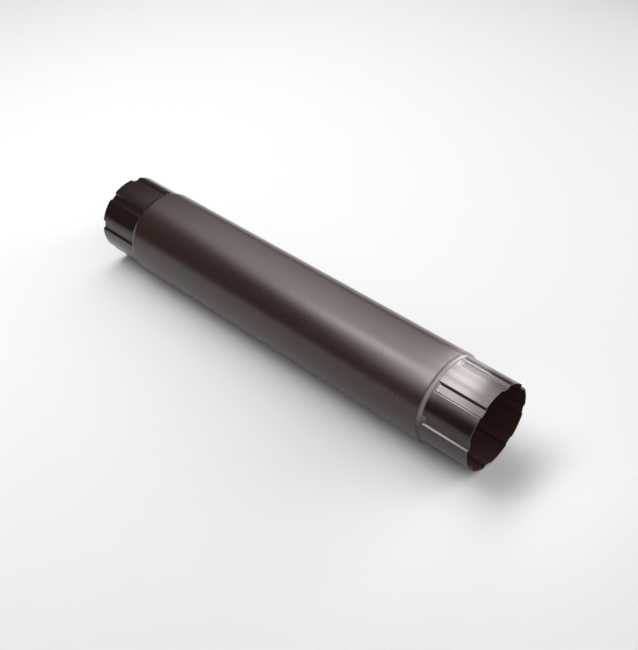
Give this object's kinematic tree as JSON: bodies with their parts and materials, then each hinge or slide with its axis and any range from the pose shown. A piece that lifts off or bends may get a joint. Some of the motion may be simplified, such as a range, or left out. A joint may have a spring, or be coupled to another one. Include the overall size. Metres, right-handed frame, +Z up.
{
  "type": "downpipe",
  "caption": "Straight round rainwater downpipe of brown coated sheet steel, crimped at both ends into grooved spigots behind rounded shoulders",
  "frame": {"origin": "On the pipe's axis, halfway between its two rims", "axes": "+X along the pipe towards one crimped end, +Z up with the pipe lying on its side, -Y towards the viewer"},
  "size_m": [0.5, 0.0912, 0.0912],
  "materials": {
    "coated_steel": "Dark chocolate-brown coil coating on both faces, satin, with a faint grain and a thin bare steel line at the cut rims"
  },
  "bodies": {
    "root": {"downpipe": "coated_steel"}
  },
  "joints": []
}
